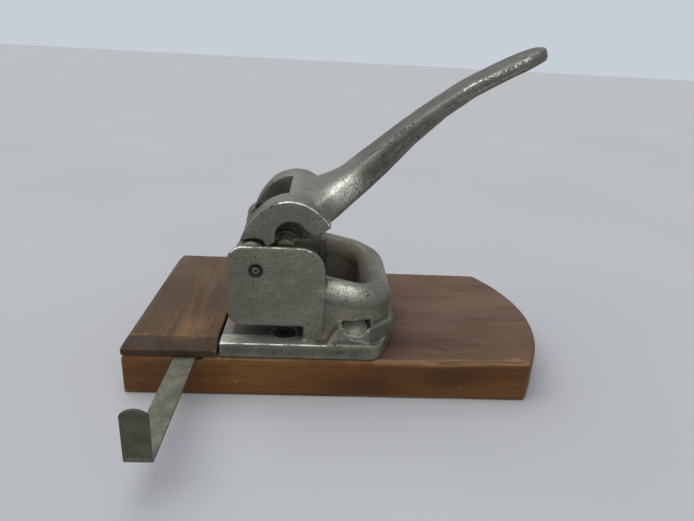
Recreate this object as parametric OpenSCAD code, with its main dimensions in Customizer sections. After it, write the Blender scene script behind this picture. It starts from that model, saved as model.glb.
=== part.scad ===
// Desk paper punch on a wooden board. Millimetres, +Z up.
// Origin: middle of the board's underside. Paper goes in towards +X.
// The viewer of the photo stands at -Y, so "near" is the -Y side.

/* [Board] */
// Length of the base board, with its bowed end
board_len = 278; // [270:1:290]
// Width of the base board
board_wid = 150; // [148:1:158]
// Thickness of the base board
board_thick = 27; // [25:0.5:32]
// How far the right end of the board bows out
end_bow = 22; // [16:1:28]
// Radius of the worn top edges of the board
board_round = 2.6; // [1.5:0.1:4]
// Thickness of the table board, which is also the flange thickness
table_thick = 10; // [9:0.5:12]
// Flat run of the table board's front bevel
bevel_run = 9.4; // [6:0.2:12]
// Flat run of the table board's left bevel
bevel_side = 5.4; // [4:0.2:8]
// Height of the table board's edge under the bevels
bevel_foot = 4.3; // [3.5:0.1:6]
// Width of the table board, from the board's left end to the flange
table_wid = 58.6; // [50:0.2:70]

/* [Heads] */
// Distance from the fulcrum to the right end of the flange
flange_reach = 91; // [90:1:96]
// Distance from a punch axis to its head's outer face
head_out = 11.75; // [11.5:0.05:12.5]
// Distance between the two punches
punch_span = 80; // [79:0.5:81]
// Distance from the throat's end to the punch axis
paper_margin = 12; // [11.5:0.1:12.5]
// Height of the throat
throat_gap = 10; // [9:0.5:10.5]
// Height of the fulcrum above the flange
fulcrum_h = 46.3; // [46:0.1:47.5]
// Width of a head along the paper's path
head_wid = 58.7; // [58.5:0.1:60]
// Height of the front wall's top above the fulcrum
head_top = 15.2; // [15:0.1:16]
// Height of the boss behind the front wall above the fulcrum
boss_top = 17.2; // [17:0.1:17.4]
// Thickness of the head's front wall
wall_front = 3.25; // [3:0.05:3.4]
// Thickness of the head's inner wall
wall_inner = 3.7; // [3.4:0.1:4.5]

/* [Mechanism] */
// Diameter of the punches
punch_d = 6; // [5.5:0.1:6.4]
// Diameter of the fulcrum shaft
shaft_d = 7; // [6.5:0.1:8]
// Radial running clearance of shafts and punches
run_gap = 0.05; // [0.02:0.01:0.1]
// Diameter of the cross pins
cross_d = 9.4; // [9:0.1:9.6]
// Length of the cross pins
cross_len = 16.4; // [16:0.1:16.5]
// Height of the ridge's crest above the flange, close to the heads
ridge_top = 40; // [38:0.5:41]
// Slope of the ridge's crest down to its far end, in degrees
ridge_tilt = 13; // [8:0.5:16]
// Distance from the fulcrum to the crest at the ridge's far end
ridge_end = 76; // [74:0.5:78]
// Wire diameter of the return springs
wire_d = 1.1; // [0.9:0.1:1.2]
// Mean coil diameter of the return springs
coil_d = 8.6; // [8.4:0.1:9]

/* [Ruler] */
// Width of the ruler strip
ruler_w = 13.2; // [12:0.2:14]
// Thickness of the ruler strip
ruler_t = 1.6; // [1.2:0.1:1.8]
// Length of the ruler strip
ruler_len = 150; // [140:1:152]
// Distance from the middle of the punches to the stop's inner face
stop_reach = 148.5; // [140:0.5:150]
// Height of the stop tab's top above the board
tab_h = 28; // [22:0.5:32]

/* [Hidden] */
$fn = 64;
eps = 0.01;
fit_gap = 0.3;
lip = 4.5;
inset = 0.5;
flange_top = board_thick + table_thick;
punch_v = punch_span / 2;
half = punch_v + head_out;
head_span = 2 * half;
pair_y = -board_wid / 2 + inset + lip + half;
flange_left = -22.3;
table_gap = 1.4;
pivot_x = -board_len / 2 + table_wid + table_gap - flange_left;
pivot_z = flange_top + fulcrum_h;
head_left = -17.2;
head_right = head_left + head_wid;
punch_u = 16.9;
throat_end = punch_u + paper_margin;
cross_w = 13.9;
stroke_ratio = 20.6;
slot_back = 22.3;
boss_back = 9.7;
cheek_out = half - 3.8;
cheek_mid = half - 10;
cheek_rib = half - 17.5;
cheek_web = half - 20.5;
cheek_in = half - 22;
band_in = half - 26;
head_in = half - slot_back - wall_inner;
flange_half = half + lip;
ridge_r = 9.5;
ridge_w = 8.5;
ridge_ease = 0.12;
ridge_v = half - 8.5;
ridge_in = ridge_v - ridge_w;
ridge_turn = 19;
ridge_foot = 45;
toe_u = ridge_end - 14.4;
toe_r = 7.8;
guide_len = 21;
floor_w = -15;
shelf_w = -5.6;
groove_w = ruler_w + 4.2;
groove_d = ruler_t + 0.7;
ruler_x = -board_len / 2 + 39.2;
die_d = 14;
chip_top = board_thick - 10;
chip_half = 18;
cover_half = 27;
cover_over = 12;
cover_thick = 1;
cover_screw_u = cover_half - 4.5;
cover_screw_v = punch_v + 4;
spring_mid = -board_wid / 2 + 31;
corner_r = 9;
end_r = (board_wid * board_wid / 4 + end_bow * end_bow) / (2 * end_bow);
flange_bow = 11;
flange_bow_half = flange_half - corner_r;
flange_r = (flange_bow_half * flange_bow_half + flange_bow * flange_bow) / (2 * flange_bow);
table_right = -board_len / 2 + table_wid;

// Placing helpers: at_pivot puts a piece in the fulcrum's frame.
module at_pivot() {
    translate([pivot_x, pair_y, pivot_z])
        children();
}

// Draws a flat shape given along X and Z as a slab between two Y values.
module slab(y0, y1) {
    translate([0, y1, 0])
        rotate([90, 0, 0])
            linear_extrude(height = y1 - y0)
                children();
}

// Both sides of the pair, the far one mirrored.
module both() {
    children();
    mirror([0, 1, 0])
        children();
}

// A coil spring drawn as one unbroken tube, standing on its lower end.
function coil_pt(i, k, turns, r, h, w) = let(
    a = 360 * turns * i / 100,
    s = 360 * k / 6,
    rr = r + w / 2 * cos(s),
    z = w / 2 + (h - w) * i / 100 + w / 2 * sin(s)
) [rr * cos(a), rr * sin(a), z];

module coil(turns, r, h, w) {
    n = 100;
    pts = [for (i = [0:n]) for (k = [0:5]) coil_pt(i, k, turns, r, h, w)];
    sides = [for (i = [0:n - 1]) for (k = [0:5])
        [i * 6 + k, i * 6 + (k + 1) % 6, (i + 1) * 6 + (k + 1) % 6, (i + 1) * 6 + k]];
    caps = [[5, 4, 3, 2, 1, 0], [n * 6, n * 6 + 1, n * 6 + 2, n * 6 + 3, n * 6 + 4, n * 6 + 5]];
    polyhedron(points = pts, faces = concat(sides, caps), convexity = 10);
}

// Wooden board outline seen from above, with the bowed right end.
module board_plan(cut) {
    x0 = -board_len / 2 + cut;
    y0 = -board_wid / 2 + cut;
    translate([x0, y0])
        square([board_len / 2, board_wid - 2 * cut]);
    intersection() {
        translate([-10, y0])
            square([board_len / 2 + 10, board_wid - 2 * cut]);
        translate([board_len / 2 - end_r, 0])
            circle(r = end_r - cut, $fn = 180);
    }
}

module base_board() {
    color([0.40, 0.29, 0.20])
    difference() {
        union() {
            linear_extrude(height = board_thick - board_round)
                board_plan(0);
            translate([0, 0, board_thick - board_round - eps])
                linear_extrude(height = board_round * 0.45 + eps)
                    board_plan(board_round * 0.14);
            translate([0, 0, board_thick - board_round * 0.55 - eps])
                linear_extrude(height = board_round * 0.3 + eps)
                    board_plan(board_round * 0.42);
            translate([0, 0, board_thick - board_round * 0.25 - eps])
                linear_extrude(height = board_round * 0.25 + eps)
                    board_plan(board_round * 0.8);
        }
        // Groove for the ruler, open at the front
        translate([ruler_x - ruler_w / 2 - 0.3, -board_wid / 2 - 1, board_thick - groove_d])
            cube([groove_w, board_wid - 2, groove_d + 1]);
        // Chip chamber with a rebate for its cover
        translate([pivot_x + punch_u - chip_half, pair_y - punch_v - 9, -1])
            cube([2 * chip_half, punch_span + 18, chip_top + 1]);
        translate([pivot_x + punch_u - cover_half, pair_y - punch_v - cover_over, -1])
            cube([2 * cover_half, punch_span + 2 * cover_over, cover_thick + 1.2]);
        both_punch_x(board_thick / 2, board_thick, die_d / 2 - 1.5);
        // Holes for the cover screws
        for (sx = [-1, 1])
            for (sy = [-1, 1])
                translate([pivot_x + punch_u + sx * cover_screw_u, pair_y + sy * cover_screw_v, -1])
                    cylinder(r = 1.5, h = 12);
        // Holes for the flange and ridge screws
        at_pivot()
            flange_screw_holes(2.05, -fulcrum_h - table_thick - 16, -fulcrum_h);
        at_pivot()
            both()
                toe_place()
                    translate([0, 0, -34])
                        cylinder(r = 2.15, h = 38);
        // Holes for the table screws, sunk from below
        for (sx = [0, 1])
            for (sy = [-1, 1])
                translate([table_screw_x(sx), sy * (board_wid / 2 - 22), 0]) {
                    translate([0, 0, -1])
                        cylinder(r = 1.7, h = board_thick + 2);
                    translate([0, 0, -eps])
                        cylinder(r1 = 4.4, r2 = 1.7, h = 2.8);
                }
    }
}

// Round holes on the two punch axes from one height up.
module both_punch_x(z0, h, r) {
    for (s = [-1, 1])
        translate([pivot_x + punch_u, pair_y + s * punch_v, z0])
            cylinder(r = r, h = h);
}

function table_screw_x(i) = i == 0 ? -board_len / 2 + 14 : table_right - 5.2;

module table_board() {
    x0 = -board_len / 2;
    x1 = table_right;
    y0 = -board_wid / 2;
    y1 = board_wid / 2;
    color([0.50, 0.37, 0.24])
    difference() {
        translate([x0, y0, board_thick])
            cube([x1 - x0, board_wid, table_thick]);
        // Front bevel
        translate([x0 - 1, y0, board_thick])
            rotate([90, 0, 90])
                linear_extrude(height = x1 - x0 + 2)
                    polygon([[0, bevel_foot], [bevel_run, table_thick],
                        [bevel_run, table_thick + 1], [-1, table_thick + 1], [-1, bevel_foot]]);
        // Left bevel
        translate([x0, y1 + 1, board_thick])
            rotate([90, 0, 0])
                linear_extrude(height = board_wid + 2)
                    polygon([[0, bevel_foot], [bevel_side, table_thick],
                        [bevel_side, table_thick + 1], [-1, table_thick + 1], [-1, bevel_foot]]);
        for (sx = [0, 1])
            for (sy = [-1, 1])
                translate([table_screw_x(sx), sy * (board_wid / 2 - 22), board_thick - 1])
                    cylinder(r = 1.9, h = table_thick * 0.7 + 1);
    }
}

// A slotted wood screw with a countersunk head, its top at z = 0.
module sunk_screw(r_head, h_head, r_body, length) {
    difference() {
        union() {
            translate([0, 0, -h_head])
                cylinder(r1 = r_body, r2 = r_head, h = h_head);
            translate([0, 0, -length + 3])
                cylinder(r = r_body, h = length - h_head - 3 + eps);
            translate([0, 0, -length])
                cylinder(r1 = 0.3, r2 = r_body, h = 3 + eps);
        }
        translate([-r_head - 1, -0.55, -1.1])
            cube([2 * r_head + 2, 1.1, 2]);
    }
}

module table_screws() {
    color([0.55, 0.50, 0.36])
    for (sx = [0, 1])
        for (sy = [-1, 1])
            translate([table_screw_x(sx), sy * (board_wid / 2 - 22), 0.15])
                rotate([180, 0, 25 + 40 * sx + 15 * sy])
                    sunk_screw(4.0, 2.5, 1.6, board_thick + table_thick * 0.6);
}

// Flange outline seen from above, in the fulcrum's frame.
module flange_plan() {
    intersection() {
        translate([flange_left, -flange_half])
            square([flange_reach - flange_left, 2 * flange_half]);
        union() {
            translate([flange_left, -flange_half])
                square([flange_reach - flange_left - flange_bow - corner_r, 2 * flange_half]);
            intersection() {
                translate([flange_left, -flange_bow_half])
                    square([flange_reach - flange_left, 2 * flange_bow_half]);
                translate([flange_reach - flange_r, 0])
                    circle(r = flange_r, $fn = 180);
            }
            for (s = [-1, 1])
                translate([flange_reach - flange_bow - corner_r, s * flange_bow_half])
                    circle(r = corner_r);
        }
    }
}

// What a rounded corner leaves over: the corner is at [x, z], its inside towards sx and sz.
module corner_cut(x, z, r, sx, sz) {
    translate([x, z])
        mirror([sx < 0 ? 1 : 0, 0])
            mirror([0, sz < 0 ? 1 : 0])
                difference() {
                    translate([-1, -1])
                        square(r + 1);
                    translate([r, r])
                        circle(r = r);
                }
}

// Side view of a head up to a height over the flange, with the throat.
// X runs along the paper's path, and Z up from the flange.
module low_side(top) {
    difference() {
        translate([head_left, 0])
            square([head_wid, top]);
        // Throat for the paper
        translate([head_left - 1, -1])
            square([throat_end - head_left + 1, throat_gap + 1]);
        corner_cut(head_left, throat_gap, 8.5, 1, 1);
    }
}

// Front wall of a head, with rounded upper corners.
module wall_side() {
    h = fulcrum_h + head_top;
    difference() {
        low_side(h);
        corner_cut(head_left, h, 10, 1, -1);
        corner_cut(head_right, h, 16, -1, -1);
    }
}

// Boss round the shaft behind the front wall.
module boss_side() {
    h = fulcrum_h + boss_top;
    intersection() {
        translate([0.8, fulcrum_h - 0.6])
            circle(r = 18.4);
        translate([head_left, h - 20])
            square([4.4 - head_left, 20]);
        union() {
            translate([head_left, h - 21])
                square([4.4 - head_left, 12]);
            translate([head_left, h - 21])
                square([4.4 - 7.9 - head_left, 21]);
            translate([4.4 - 7.9, h - 10.2])
                circle(r = 10.2);
        }
    }
}

// One head, near side, in the fulcrum's frame.
module head_solid() {
    translate([0, 0, -fulcrum_h]) {
        slab(-half, -half + wall_front + eps)
            wall_side();
        slab(-half + wall_front, -half + slot_back - eps)
            low_side(fulcrum_h + 1);
        slab(-half + wall_front, -half + boss_back)
            boss_side();
        slab(-half + boss_back - eps, -head_in)
            intersection() {
                translate([0, fulcrum_h])
                    circle(r = 16.2);
                translate([head_left + 1, fulcrum_h - 16])
                    square([16.2 + 15, 40]);
            }
        slab(-half + slot_back - 1, -head_in)
            low_side(fulcrum_h + shelf_w);
    }
}

// What is cut out of one head, near side.
module head_cuts() {
    // Slot for the cheek and the cross pin
    translate([4.4, -half + wall_front, shelf_w])
        cube([head_right - 4.4 + 0.1, slot_back - wall_front, 60]);
    translate([4.4, -half + wall_front, shelf_w + 2.2])
        cube([60, slot_back - wall_front, 60]);
    translate([4.4, -half + wall_front, floor_w])
        cube([22.8, slot_back - wall_front, 60]);
    // Room for the hub of the lever
    translate([-14.4, -half + boss_back, floor_w])
        cube([30, slot_back - boss_back, 60]);
    // Bore for the guide bush
    translate([punch_u, -punch_v, -fulcrum_h + 1])
        cylinder(r = 5.5, h = fulcrum_h + floor_w);
    // Seat for the die
    translate([punch_u, -punch_v, -fulcrum_h - table_thick - 1])
        cylinder(r = die_d / 2, h = table_thick + 1.2);
    // Chamfer round the shaft's end
    translate([0, -half - eps, 0])
        rotate([-90, 0, 0])
            cylinder(r1 = 4.3, r2 = shaft_d / 2, h = 0.9);
}

// Where the slanted ridge screws sit, near side.
module toe_place() {
    translate([toe_u, -half + 7.4, -fulcrum_h + 8.3])
        rotate([30, 0, 0])
            children();
}

module flange_screw_holes(r, z0, z1) {
    for (s = [-1, 1])
        translate([-6, s * 15, z0])
            cylinder(r = r, h = z1 - z0);
}

// Height of the middle of the ridge's round top, which slopes down to the right.
function crest_mid(u) = -fulcrum_h + ridge_top - ridge_r - (u - ridge_foot) * tan(ridge_tilt);

// Plan of the ridge: two limbs and the end that joins them.
module ridge_shape(w) {
    x = head_right - 4;
    cx = ridge_end - ridge_turn;
    cy = ridge_v - ridge_turn;
    difference() {
        union() {
            translate([x, -ridge_v - w])
                square([cx - x, 2 * (ridge_v + w)]);
            translate([cx - 1, -cy])
                square([ridge_turn + w + 1, 2 * cy]);
            for (s = [-1, 1])
                translate([cx, s * cy])
                    circle(r = ridge_turn + w, $fn = 96);
        }
        translate([x - 1, -ridge_v + w])
            square([cx - x + 1, 2 * (ridge_v - w)]);
        translate([cx - 1, -cy])
            square([ridge_turn - w + 1, 2 * cy]);
        for (s = [-1, 1])
            translate([cx, s * cy])
                circle(r = ridge_turn - w, $fn = 96);
    }
}

// The horseshoe ridge, in the fulcrum's frame.
module ridge() {
    z0 = -fulcrum_h;
    cy = ridge_v - ridge_turn;
    run = (ridge_end - ridge_turn - ridge_foot) / cos(ridge_tilt);
    back = (ridge_foot - head_right + 4) / cos(ridge_tilt);
    // Walls under the round top
    intersection() {
        translate([0, 0, z0])
            linear_extrude(height = ridge_top)
                ridge_shape(ridge_w);
        slab(-half - 5, half + 5)
            polygon([[30, z0], [100, z0], [100, crest_mid(100)], [30, crest_mid(30)]]);
    }
    // Round top, tilted
    translate([ridge_foot, 0, crest_mid(ridge_foot)])
        rotate([0, ridge_tilt, 0]) {
            for (s = [-1, 1]) {
                translate([-back, s * ridge_v, 0])
                    rotate([0, 90, 0])
                        cylinder(r = ridge_r - ridge_ease, h = back + run + 3, $fn = 48);
                translate([run, s * cy, 0])
                    rotate([0, 0, s > 0 ? 0 : -90])
                        rotate_extrude(angle = 90, $fn = 72)
                            translate([ridge_turn, 0])
                                circle(r = ridge_r, $fn = 48);
            }
            translate([run + ridge_turn, cy, 0])
                rotate([90, 0, 0])
                    cylinder(r = ridge_r, h = 2 * cy, $fn = 48);
        }
    // Sloping skirt of the right end
    intersection() {
        translate([flange_reach - flange_r, 0, z0])
            cylinder(r1 = flange_r - 0.4, r2 = flange_r - 8.4, h = 25, $fn = 180);
        translate([ridge_end - 2, -ridge_v + 6, z0])
            cube([30, 2 * ridge_v - 12, 25]);
    }
    // Low plinth along the outside of the ridge, with flat corners
    intersection() {
        translate([0, 0, z0 - eps])
            linear_extrude(height = 11.3)
                polygon([[43, -half - 2.6], [69.5, -half - 2.6], [85.4, -half + 12.6],
                    [85.4, half - 12.6], [69.5, half + 2.6], [43, half + 2.6]]);
        slab(-flange_half, flange_half)
            polygon([[44, z0 - eps], [51, z0 + 11.3], [100, z0 + 11.3], [100, z0 - eps]]);
        union() {
            both()
                translate([40, -half - 5, z0 - 1])
                    cube([60, 12, 14]);
            translate([ridge_end - 2, -half, z0 - 1])
                cube([30, 2 * half, 14]);
        }
    }
}

module base_casting() {
    color([0.50, 0.50, 0.47])
    at_pivot()
        difference() {
            union() {
                translate([0, 0, -fulcrum_h - table_thick])
                    linear_extrude(height = table_thick)
                        flange_plan();
                both()
                    head_solid();
                ridge();
            }
            both()
                head_cuts();
            // Bore for the fulcrum shaft through both heads
            translate([0, half + 1, 0])
                rotate([90, 0, 0])
                    cylinder(r = shaft_d / 2, h = head_span + 2);
            // Well inside the ridge, open down to the board
            translate([head_right + 7.5, -ridge_in + 6, -fulcrum_h - table_thick - 1])
                cube([ridge_end - ridge_w - 3.7 - head_right - 7.5, 2 * ridge_in - 12, table_thick + 2]);
            // Pockets and holes of the ridge screws
            both() {
                intersection() {
                    translate([toe_u - 10, -half - 8, -fulcrum_h + 0.6])
                        cube([20, 23.75, 14]);
                    toe_place()
                        translate([0, 0, -2.4])
                            cylinder(r = toe_r + 1.5, h = 40);
                }
                toe_place()
                    translate([0, 0, -36])
                        cylinder(r = 2.2, h = 40);
            }
            // Countersunk holes of the flange screws
            flange_screw_holes(2.2, -fulcrum_h - table_thick - 1, -fulcrum_h + 1);
            for (s = [-1, 1])
                translate([-6, s * 15, -fulcrum_h - 3])
                    cylinder(r1 = 2.2, r2 = 4.9, h = 3 + eps);
        }
}

module ridge_screws() {
    color([0.42, 0.40, 0.36])
    at_pivot()
        both()
            toe_place()
                difference() {
                    union() {
                        intersection() {
                            translate([0, 0, -2.4])
                                cylinder(r = toe_r, h = 8);
                            translate([0, 0, -17.4])
                                sphere(r = 18.4);
                        }
                        translate([0, 0, -28])
                            cylinder(r = 2.0, h = 25);
                        translate([0, 0, -32])
                            cylinder(r1 = 0.3, r2 = 2.0, h = 4 + eps);
                    }
                    translate([-toe_r - 1, -0.6, -0.3])
                        cube([2 * toe_r + 2, 1.2, 4]);
                }
}

module flange_screws() {
    color([0.45, 0.43, 0.38])
    at_pivot()
        for (s = [-1, 1])
            translate([-6, s * 15, -fulcrum_h - 0.1])
                rotate([0, 0, 20 + 35 * s])
                    sunk_screw(4.8, 2.9, 1.9, 24);
}

module fulcrum_shaft() {
    color([0.45, 0.43, 0.38])
    at_pivot()
        difference() {
            translate([0, half - 0.1, 0])
                rotate([90, 0, 0])
                    cylinder(r = shaft_d / 2, h = head_span - 0.2);
            // Rings turned round both ends, and centre dimples
            both() {
                translate([0, -half + 0.1 - eps, 0])
                    rotate([-90, 0, 0])
                        difference() {
                            cylinder(r = shaft_d / 2 + 1, h = 0.8);
                            cylinder(r = shaft_d / 2 - 0.7, h = 0.8);
                        }
                translate([0, -half + 0.1 - eps, 0])
                    rotate([-90, 0, 0])
                        cylinder(r1 = 0.9, r2 = 0.1, h = 0.9);
            }
        }
}

// Outer line of a cheek and of the hood between the cheeks, from left to right.
cheek_line = [[-9.9, 17.0], [-7.0, 23.2], [-4.4, 27.3], [-1.9, 30.5], [0.6, 33.4], [2.9, 35.6],
    [5.8, 37.7], [9.2, 39.5], [13.3, 41.1], [17.4, 41.9], [21.4, 42.0], [26.3, 41.2], [29.6, 40.0],
    [33.9, 37.6], [37.7, 34.8], [41.3, 31.2], [44.0, 27.0]];
tip_line = [[39.0, 23.3], [34.2, 20.7]];
// Opening in the outer plate, through which the cross pin shows.
hook_line = [[32.6, 21.9], [29.2, 24.9], [25.4, 28.1], [22.8, 29.4], [20.2, 29.8], [17.6, 29.5],
    [15.2, 28.4], [12.9, 26.5], [11.4, 24.2], [11.05, 21.5], [11.05, 16.7]];

// Where the cross pin stands in the lever's frame when the lever has turned by t degrees.
function pin_at(t) = let(w = cross_w - stroke_ratio * t * PI / 180)
    [punch_u * cos(t) - w * sin(t), punch_u * sin(t) + w * cos(t)];
// A point at distance r from the pin's path, on its upper left side.
function edge_at(t, r) = let(d = pin_at(t - 1) - pin_at(t + 1), n = norm(d))
    pin_at(t) + r * [-d[1], d[0]] / n;
function ring_at(t, a, r) = pin_at(t) + r * [cos(a), sin(a)];
function notch_line(r) = concat(
    [for (a = [30:15:105]) ring_at(0, a, r)],
    [for (t = [3:4:35]) edge_at(t, r)],
    [ring_at(35, 212, r), ring_at(35, 226, r)]);

// Outer plate of a cheek, with the hooked opening.
module curtain_side() {
    polygon(concat(cheek_line, tip_line, hook_line,
        [[9.7, 15.6], [8.2, 14.6], [8.2, 13.0], [5.0, 13.0], [5.0, 15.2], [4.2, 16.9],
         [2.8, 18.1], [0, 18.7], [-4.0, 18.4], [-7.5, 17.7]]));
}

// Inner part of a cheek: hub and hood, hollow behind the opening.
module block_side() {
    circle(r = 10.8);
    polygon(concat([[-10.7, 1.0], [-9.9, 12]], cheek_line, tip_line, hook_line,
        [[8.6, 14.0], [7.6, 11.0], [9.0, 5.0], [10.4, 2.0], [0, 0]]));
}

// Inner web of a cheek, whose notch bears on the cross pin.
module web_side() {
    circle(r = 10.8);
    polygon(concat([[-10.7, 1.0], [-9.9, 12]], cheek_line, tip_line,
        [[31.0, 19.6], [27.2, 13.6], [26.2, 13.2]],
        notch_line(cross_d / 2 + fit_gap), [[9.3, 5.0], [10.4, 2.0], [0, 0]]));
}

// Raised rim along the notch.
module rim_side() {
    r = cross_d / 2 + fit_gap;
    outer = notch_line(r + 1.3);
    inner = notch_line(r);
    n = len(inner) - 1;
    polygon(concat([[27.4, 13.9]], outer, [for (i = [n:-1:0]) inner[i]], [[26.2, 13.2]]));
}

// Rows of the handle: top point, bottom point, half width, boxiness.
handle_rows = [
    [[24.0, 40.0], [30.0, 25.5], 42.0, 0.36],
    [[31.0, 39.6], [37.5, 24.0], 42.5, 0.40],
    [[37.2, 43.0], [43.5, 23.6], 39.5, 0.50],
    [[43.2, 47.2], [48.5, 26.0], 33.0, 0.58],
    [[50.3, 51.9], [55.2, 31.2], 26.5, 0.58],
    [[60.2, 60.6], [66.0, 41.2], 20.4, 0.46],
    [[73.0, 71.4], [78.5, 54.0], 17.0, 0.36],
    [[90.0, 85.5], [94.5, 72.6], 16.2, 0.32],
    [[107.6, 98.7], [111.6, 89.2], 16.6, 0.32],
    [[125.0, 110.8], [128.5, 102.4], 17.4, 0.32],
    [[142.0, 120.3], [145.0, 112.1], 18.2, 0.34],
    [[155.0, 127.1], [157.6, 118.6], 18.0, 0.36],
    [[162.4, 130.7], [164.8, 122.4], 15.6, 0.40],
    [[167.2, 132.7], [169.4, 124.6], 11.0, 0.48],
    [[169.9, 132.4], [172.2, 126.3], 5.0, 0.58]
];
function boxy(c, p) = c < 0 ? -pow(-c, p) : pow(c, p);
function row_pt(r, k, m) = let(
    a = 360 * k / m,
    mid = (r[0] + r[1]) / 2,
    up = (r[0] - r[1]) / 2,
    s = boxy(sin(a), r[3]),
    c = boxy(cos(a), r[3])
) [mid[0] + up[0] * s, -r[2] * c, mid[1] + up[1] * s];

module handle_loft() {
    m = 36;
    n = len(handle_rows) - 1;
    pts = [for (r = handle_rows) for (k = [0:m - 1]) row_pt(r, k, m)];
    sides = [for (i = [0:n - 1]) for (k = [0:m - 1]) for (t = [0, 1])
        t == 0 ? [i * m + k, i * m + (k + 1) % m, (i + 1) * m + (k + 1) % m]
               : [i * m + k, (i + 1) * m + (k + 1) % m, (i + 1) * m + k]];
    caps = [[for (k = [m - 1:-1:0]) k], [for (k = [0:m - 1]) n * m + k]];
    polyhedron(points = pts, faces = concat(sides, caps), convexity = 6);
}

module lever() {
    color([0.52, 0.52, 0.48])
    at_pivot()
        difference() {
            union() {
                both() {
                    slab(-cheek_out, -cheek_mid + eps)
                        curtain_side();
                    slab(-cheek_mid, -cheek_web + eps)
                        block_side();
                    slab(-cheek_rib, -cheek_web + eps)
                        rim_side();
                    slab(-cheek_web, -cheek_in)
                        web_side();
                    slab(-cheek_in - eps, -band_in)
                        difference() {
                            polygon(concat(cheek_line, tip_line, [[32, 20], [0, 0]]));
                            circle(r = 19.9);
                        }
                }
                // Web of the hood between the cheeks
                slab(-band_in - eps, band_in + eps)
                    intersection() {
                        polygon(concat(cheek_line, tip_line, [[32, 20.4], [17, 20.4], [0, 30]]));
                        translate([17.6, 0])
                            square([60, 60]);
                    }
                handle_loft();
            }
            translate([0, half + 1, 0])
                rotate([90, 0, 0])
                    cylinder(r = shaft_d / 2 + run_gap, h = head_span + 2);
        }
}

// Pieces on one punch axis, near side, in the fulcrum's frame.
module punch_side() {
    top_w = cross_w - cross_d / 2 + 5.5;
    tip_w = -fulcrum_h + throat_gap + 0.4;
    difference() {
        translate([punch_u, -punch_v, tip_w])
            cylinder(r = punch_d / 2, h = top_w - tip_w);
        // Hollow ground tip
        translate([punch_u - 6, -punch_v, tip_w - 2.2])
            rotate([0, 90, 0])
                cylinder(r = 3.0, h = 12);
    }
}

module cross_pin_side() {
    y0 = -half + 5.2;
    difference() {
        union() {
            translate([punch_u, y0 + cross_len, cross_w])
                rotate([90, 0, 0])
                    cylinder(r = cross_d / 2 - 0.35, h = cross_len);
            for (i = [0:4])
                translate([punch_u, y0 + 0.0 + i * (cross_len - 2.2) / 4 + 2.2, cross_w])
                    rotate([90, 0, 0])
                        cylinder(r = cross_d / 2, h = 2.2);
        }
        translate([punch_u, -punch_v, cross_w - cross_d])
            cylinder(r = punch_d / 2, h = cross_d / 2 + 5.5);
    }
}

module washer_side() {
    difference() {
        translate([punch_u, -punch_v, cross_w - cross_d / 2 - 1.5])
            cylinder(r = 5.0, h = 1.5);
        translate([punch_u, -punch_v, cross_w - cross_d / 2 - 2])
            cylinder(r = punch_d / 2, h = 3);
    }
}

spring_h = cross_w - cross_d / 2 - 1.5 - floor_w;

module spring_side() {
    translate([punch_u, -punch_v, floor_w + 0.02])
        coil(7.5, coil_d / 2, spring_h - 0.04, wire_d);
}

module guide_side() {
    difference() {
        translate([punch_u, -punch_v, floor_w - guide_len])
            cylinder(r = 5.5, h = guide_len);
        translate([punch_u, -punch_v, floor_w - guide_len - 1])
            cylinder(r = punch_d / 2 + run_gap, h = guide_len + 2);
    }
}

module die_side() {
    difference() {
        translate([punch_u, -punch_v, -fulcrum_h - table_thick])
            cylinder(r = die_d / 2, h = table_thick);
        translate([punch_u, -punch_v, -fulcrum_h - 5])
            cylinder(r = punch_d / 2 + run_gap, h = 6);
        translate([punch_u, -punch_v, -fulcrum_h - table_thick - 1])
            cylinder(r = punch_d / 2 + 1, h = table_thick - 3.9);
    }
}

module near_punch() {
    color([0.60, 0.60, 0.60])
    at_pivot()
        punch_side();
}

module far_punch() {
    color([0.60, 0.60, 0.60])
    at_pivot()
        mirror([0, 1, 0])
            punch_side();
}

module near_cross_pin() {
    color([0.55, 0.53, 0.42])
    at_pivot()
        cross_pin_side();
}

module far_cross_pin() {
    color([0.55, 0.53, 0.42])
    at_pivot()
        mirror([0, 1, 0])
            cross_pin_side();
}

module near_spring_washer() {
    color([0.50, 0.50, 0.50])
    at_pivot()
        washer_side();
}

module far_spring_washer() {
    color([0.50, 0.50, 0.50])
    at_pivot()
        mirror([0, 1, 0])
            washer_side();
}

module near_return_spring() {
    color([0.45, 0.45, 0.45])
    at_pivot()
        spring_side();
}

module far_return_spring() {
    color([0.45, 0.45, 0.45])
    at_pivot()
        mirror([0, 1, 0])
            spring_side();
}

module near_guide_bush() {
    color([0.60, 0.50, 0.25])
    at_pivot()
        guide_side();
}

module far_guide_bush() {
    color([0.60, 0.50, 0.25])
    at_pivot()
        mirror([0, 1, 0])
            guide_side();
}

module near_die() {
    color([0.55, 0.55, 0.55])
    at_pivot()
        die_side();
}

module far_die() {
    color([0.55, 0.55, 0.55])
    at_pivot()
        mirror([0, 1, 0])
            die_side();
}

module guide_ruler() {
    tab_out = pair_y - stop_reach - ruler_t;
    z1 = board_thick - 0.35;
    z0 = z1 - ruler_t;
    top = board_thick + tab_h;
    color([0.50, 0.50, 0.42])
    union() {
        translate([ruler_x - ruler_w / 2, tab_out, z0])
            cube([ruler_w, ruler_len, ruler_t]);
        // Upturned stop tab with a rounded top
        translate([ruler_x, 0, 0])
            slab(tab_out, tab_out + ruler_t)
                intersection() {
                    translate([-ruler_w / 2, z0])
                        square([ruler_w, top - z0]);
                    translate([0, top - ruler_w * 0.66])
                        circle(r = ruler_w * 0.66);
                }
        translate([ruler_x - ruler_w / 2, tab_out, z0])
            cube([ruler_w, ruler_t, top - ruler_w * 0.66 - z0]);
    }
}

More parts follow.
